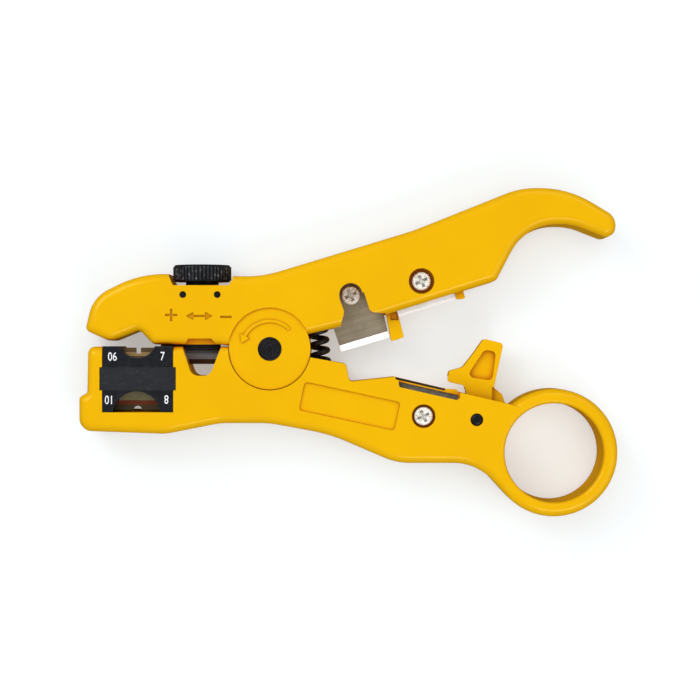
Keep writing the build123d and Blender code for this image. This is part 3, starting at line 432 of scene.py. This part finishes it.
def soft_box(name, place, aim, width, height, watts, mirrored=True):
    lamp = bpy.data.lights.new(name, "AREA")
    lamp.shape, lamp.size, lamp.size_y, lamp.energy = "RECTANGLE", width, height, watts
    box = bpy.data.objects.new(name, lamp)
    box.location = place
    box.visible_glossy = mirrored
    box.rotation_euler = (Vector(aim) - Vector(place)).to_track_quat("-Z", "Y").to_euler()
    bpy.context.scene.collection.objects.link(box)


def set_floor():
    """Light table: pale glass with a faint glow that fades, as a painted shadow, where the arms lie close
    over it.
    """
    f = Finish("pale_floor", Specular_IOR_Level=0.1, Emission_Strength=GLOW_STRENGTH)
    base = f.mix(f.noise(0.01, 2.0), colour(0.40, 0.44, 0.455), colour(0.42, 0.46, 0.475))
    # painted shadow: the glow dims by AO under and round the tool
    sky = f.node("ShaderNodeAmbientOcclusion", {"samples": 12}, {"Distance": GLOW_REACH}, "AO")
    glow = f.mix(sky.step(0.0, 0.65), colour(0.78, 0.73, 0.69), colour(1.0, 1.0, 1.0))
    f.wear(Base_Color=base, Roughness=0.7 + f.noise(0.02) * 0.1, Emission_Color=glow)
    mesh = bpy.data.meshes.new("floor")
    s, z = FLOOR_HALF, FLOOR_Z
    mesh.from_pydata([(-s, -s, z), (s, -s, z), (s, s, z), (-s, s, z)], [], [(0, 1, 2, 3)])
    floor = bpy.data.objects.new("floor", mesh)
    mesh.materials.append(f.material)
    bpy.context.scene.collection.objects.link(floor)
    floor.visible_glossy = False


def set_world():
    world = bpy.data.worlds.new("studio")
    world.use_nodes = True
    tree = world.node_tree
    back = tree.nodes["Background"]
    back.inputs["Strength"].default_value = 1.0
    aim = tree.nodes.new("ShaderNodeTexCoord")
    parts = tree.nodes.new("ShaderNodeSeparateXYZ")
    ramp = tree.nodes.new("ShaderNodeValToRGB")
    stops = ramp.color_ramp.elements
    stops[0].position, stops[0].color = 0.0, (0.16, 0.075, 0.010, 1.0)
    stops[1].position, stops[1].color = 0.95, (0.014, 0.015, 0.017, 1.0)
    for place, tone in ((0.25, 0.42), (0.62, 0.42)):
        stops.new(place).color = (tone, tone * 1.02, tone * 1.06, 1.0)
    tree.links.new(aim.outputs["Generated"], parts.inputs[0])
    tree.links.new(parts.outputs[2], ramp.inputs[0])
    tree.links.new(ramp.outputs[0], back.inputs["Color"])
    bpy.context.scene.world = world


# ---------------------------------------------------------------- mesh helpers

def piece(name, mesh, material, body, replaces=()):
    """Puts a finished mesh on its body."""
    thing = bpy.data.objects.new(name, mesh)
    mesh.materials.clear()
    mesh.materials.append(material)
    bpy.context.scene.collection.objects.link(thing)
    if body:
        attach(thing, body)
    if replaces:
        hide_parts(*replaces)
    return thing


class Tree:
    """A geometry node tree with named size inputs."""

    def __init__(self, name, **sizes):
        self.tree = bpy.data.node_groups.new(name, "GeometryNodeTree")
        face = self.tree.interface
        face.new_socket("Geometry", in_out="OUTPUT", socket_type="NodeSocketGeometry")
        self.ids, self.sizes = {}, sizes
        for key, value in sizes.items():
            kind = "NodeSocketInt" if isinstance(value, int) else "NodeSocketFloat"
            self.ids[key] = face.new_socket(key, in_out="INPUT", socket_type=kind).identifier
        self.inputs = self.tree.nodes.new("NodeGroupInput")
        self.output = self.tree.nodes.new("NodeGroupOutput")

    def size(self, key):
        return Part(self, self.inputs.outputs[key])

    def node(self, kind, settings, sockets, out=0):
        made = self.tree.nodes.new(kind)
        for key, value in settings.items():
            setattr(made, key, value)
        for key, value in sockets.items():
            for one in value if isinstance(value, list) else [value]:
                if isinstance(one, Part):
                    self.tree.links.new(one.socket, made.inputs[key])
                else:
                    made.inputs[key].default_value = one
        return Part(self, made.outputs[out])

    def number(self, operation, first, second, clamp=False):
        settings = {"operation": operation, "use_clamp": clamp}
        return self.node("ShaderNodeMath", settings, {0: first, 1: second})

    def vector(self, x=0.0, y=0.0, z=0.0):
        return self.node("ShaderNodeCombineXYZ", {}, {0: x, 1: y, 2: z})

    def mesh(self, name, shape, material):
        """The tree's result as a plain mesh, with its instances realised."""
        whole = self.node("GeometryNodeRealizeInstances", {}, {0: shape})
        done = self.node("GeometryNodeSetMaterial", {}, {0: whole, 2: material})
        self.tree.links.new(done.socket, self.output.inputs[0])
        carrier = bpy.data.objects.new(name + "_tree", bpy.data.meshes.new(name + "_tree"))
        bpy.context.scene.collection.objects.link(carrier)
        modifier = carrier.modifiers.new(name, "NODES")
        modifier.node_group = self.tree
        for key, value in self.sizes.items():
            modifier[self.ids[key]] = value
        graph = bpy.context.evaluated_depsgraph_get()
        mesh = bpy.data.meshes.new_from_object(carrier.evaluated_get(graph))
        carrier.modifiers.clear()
        bpy.data.objects.remove(carrier)
        mesh.name = name
        return mesh


class Part:
    """A geometry or number socket of a tree, with plain arithmetic for numbers."""

    def __init__(self, tree, socket):
        self.tree, self.socket = tree, socket

    def math(self, operation, *values):
        return self.tree.node("ShaderNodeMath", {"operation": operation}, dict(enumerate((self, *values))))

    def __add__(self, other): return self.math("ADD", other)
    def __radd__(self, other): return self.math("ADD", other)
    def __sub__(self, other): return self.math("SUBTRACT", other)
    def __rsub__(self, other): return self.tree.number("SUBTRACT", other, self)
    def __mul__(self, other): return self.math("MULTIPLY", other)
    def __rmul__(self, other): return self.math("MULTIPLY", other)
    def __truediv__(self, other): return self.math("DIVIDE", other)
    def __rtruediv__(self, other): return self.tree.number("DIVIDE", other, self)

    def clamped(self):
        return self.tree.number("ADD", self, 0.0, clamp=True)

    def sin(self): return self.math("SINE")
    def cos(self): return self.math("COSINE")


# ---------------------------------------------------------------- return spring

def coil_spring(material):
    """Closed-end compression spring between the arms, leaning with its pockets."""
    low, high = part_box("return_spring")
    wire, turns, closed = SPRING_WIRE, SPRING_TURNS, 1.0 / SPRING_TURNS
    outside = high.z - low.z
    foot = Vector((high.x - outside / 2, low.y, (low.z + high.z) / 2))
    head = Vector((low.x + outside / 2, high.y, foot.z))
    length = (head - foot).length - wire - SPRING_PLAY
    share = END_COIL_PITCH * wire / length
    t = Tree("coil", turns=float(turns), radius=(outside - wire) / 2, length=length, wire=wire / 2, steps=420)
    line = t.node("GeometryNodeCurvePrimitiveLine", {}, {})
    line = t.node("GeometryNodeResampleCurve", {}, {0: line, "Count": t.size("steps")})
    along = t.node("GeometryNodeSplineParameter", {}, {})
    angle = along * t.size("turns") * (2 * pi)
    first = (along / closed).clamped() * share
    middle = ((along - closed) / (1 - 2 * closed)).clamped() * (1 - 2 * share)
    last = ((along - (1 - closed)) / closed).clamped() * share
    place = t.vector(angle.cos() * t.size("radius"), angle.sin() * t.size("radius"),
                     (first + middle + last) * t.size("length"))
    line = t.node("GeometryNodeSetPosition", {}, {0: line, "Position": place})
    ring = t.node("GeometryNodeCurvePrimitiveCircle", {}, {"Resolution": 18, "Radius": t.size("wire")})
    tube = t.node("GeometryNodeCurveToMesh", {}, {0: line, 1: ring, "Fill Caps": True})
    mesh = t.mesh("coil_spring", tube, material)
    aim = (head - foot).normalized()
    start = foot + aim * (wire / 2 + 0.1 * MM)
    mesh.transform(Matrix.Translation(start) @ aim.to_track_quat("Z", "Y").to_matrix().to_4x4())
    mesh.shade_smooth()
    spring = piece("coil_spring", mesh, material, None, ["return_spring"])
    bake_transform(spring)


# ---------------------------------------------------------------- cassette numerals

def numeral(name, words, x, y, turn, material):
    """Printed size number on the front of the cassette, in millimetres of cable."""
    curve = bpy.data.curves.new(name, "FONT")
    curve.body, curve.size, curve.extrude, curve.offset = words, NUMERAL_SIZE, INK_DEPTH, INK_SPREAD
    curve.align_x, curve.align_y, curve.resolution_u = "CENTER", "CENTER", 6
    curve.fill_mode = "BOTH"
    words = bpy.data.objects.new(name, curve)
    bpy.context.scene.collection.objects.link(words)
    bpy.context.view_layer.update()
    mesh = bpy.data.meshes.new_from_object(words.evaluated_get(bpy.context.evaluated_depsgraph_get()))
    bpy.data.objects.remove(words)
    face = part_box("cassette_front")[1].z
    place = Matrix.Translation((x * MM, y * MM, face + INK_LIFT))
    narrow = Matrix.Diagonal((NUMERAL_WIDTH, 1.0, 1.0, 1.0))
    mesh.transform(place @ Matrix.Rotation(radians(turn), 4, "Z") @ narrow)
    mesh.name = name
    return piece(name, mesh, material, "cassette")


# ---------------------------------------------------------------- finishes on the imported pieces

YELLOW = moulded_yellow()
BLACK = moulded_black("black_plastic", worn=0.25)
wheel_low, wheel_high = (corner * PER_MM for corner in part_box("thumbwheel"))
wheel_middle, wheel_size = (wheel_low + wheel_high) / 2, wheel_high - wheel_low
wheel_crests = (wheel_middle.x, wheel_middle.z, wheel_size.x / 2)
WHEEL_BLACK = moulded_black("wheel_black", 0.6, worn=0.0, crests=wheel_crests)
CASSETTE_BLACK = moulded_black("cassette_black", 1.15, band=CASSETTE_WORN_BAND)
OXIDE = black_oxide()
ZINC = zinc_plate()
BRASS = turned_brass()

coat = {
    "lower_arm": YELLOW, "upper_arm": YELLOW, "blade_guard": YELLOW, "latch_lever": YELLOW,
    "pivot_pin": OXIDE, "pivot_retainer": BLACK, "return_spring": OXIDE, "latch_pin": OXIDE,
    "cutter_blade_screw": ZINC, "upper_holder_screw": ZINC, "lower_holder_screw": ZINC,
    "lower_spacer": YELLOW, "thumbwheel": WHEEL_BLACK, "adjusting_screw": ZINC, "wheel_pins": OXIDE,
    "blade_slider": BLACK, "slider_nut": BRASS, "cassette_front": CASSETTE_BLACK,
    "cassette_core": CASSETTE_BLACK, "cassette_back": CASSETTE_BLACK, "cassette_pins": ZINC,
    "cutter_blade": cutter_steel(), "upper_strip_blade": bright_strip(), "lower_strip_blade": dark_strip(),
    "round_cable_blade": banded_steel("round_blade_steel", 0.0, ROUND_BLADE_BANDS),
    "small_notch_core_blade": banded_steel("small_core_steel", 0.0, SMALL_CORE_BANDS),
    "small_notch_jacket_blade": banded_steel("small_jacket_steel", 0.0, SMALL_JACKET_BANDS),
    "large_notch_core_blade": banded_steel("large_core_steel", 0.0, LARGE_CORE_BANDS),
    "large_notch_jacket_blade": banded_steel("large_jacket_steel", 0.0, LARGE_JACKET_BANDS),
}
for name, material in coat.items():
    for slot in nodes[name].material_slots:
        slot.material = material

# ---------------------------------------------------------------- made pieces, stage and view

coil_spring(OXIDE)
PRINT = printed_white()
for name, words, x, y, turn in NUMERALS:
    numeral(name, words, x, y, turn, PRINT)

set_camera()
set_floor()
set_world()
soft_box("key", *KEY)
soft_box("fill", *FILL)
soft_box("rim", *RIM)
soft_box("front", *FRONT)
soft_box("overhead", *OVERHEAD, mirrored=False)

view = bpy.context.scene.view_settings
view.view_transform, view.look = "Standard", "None"
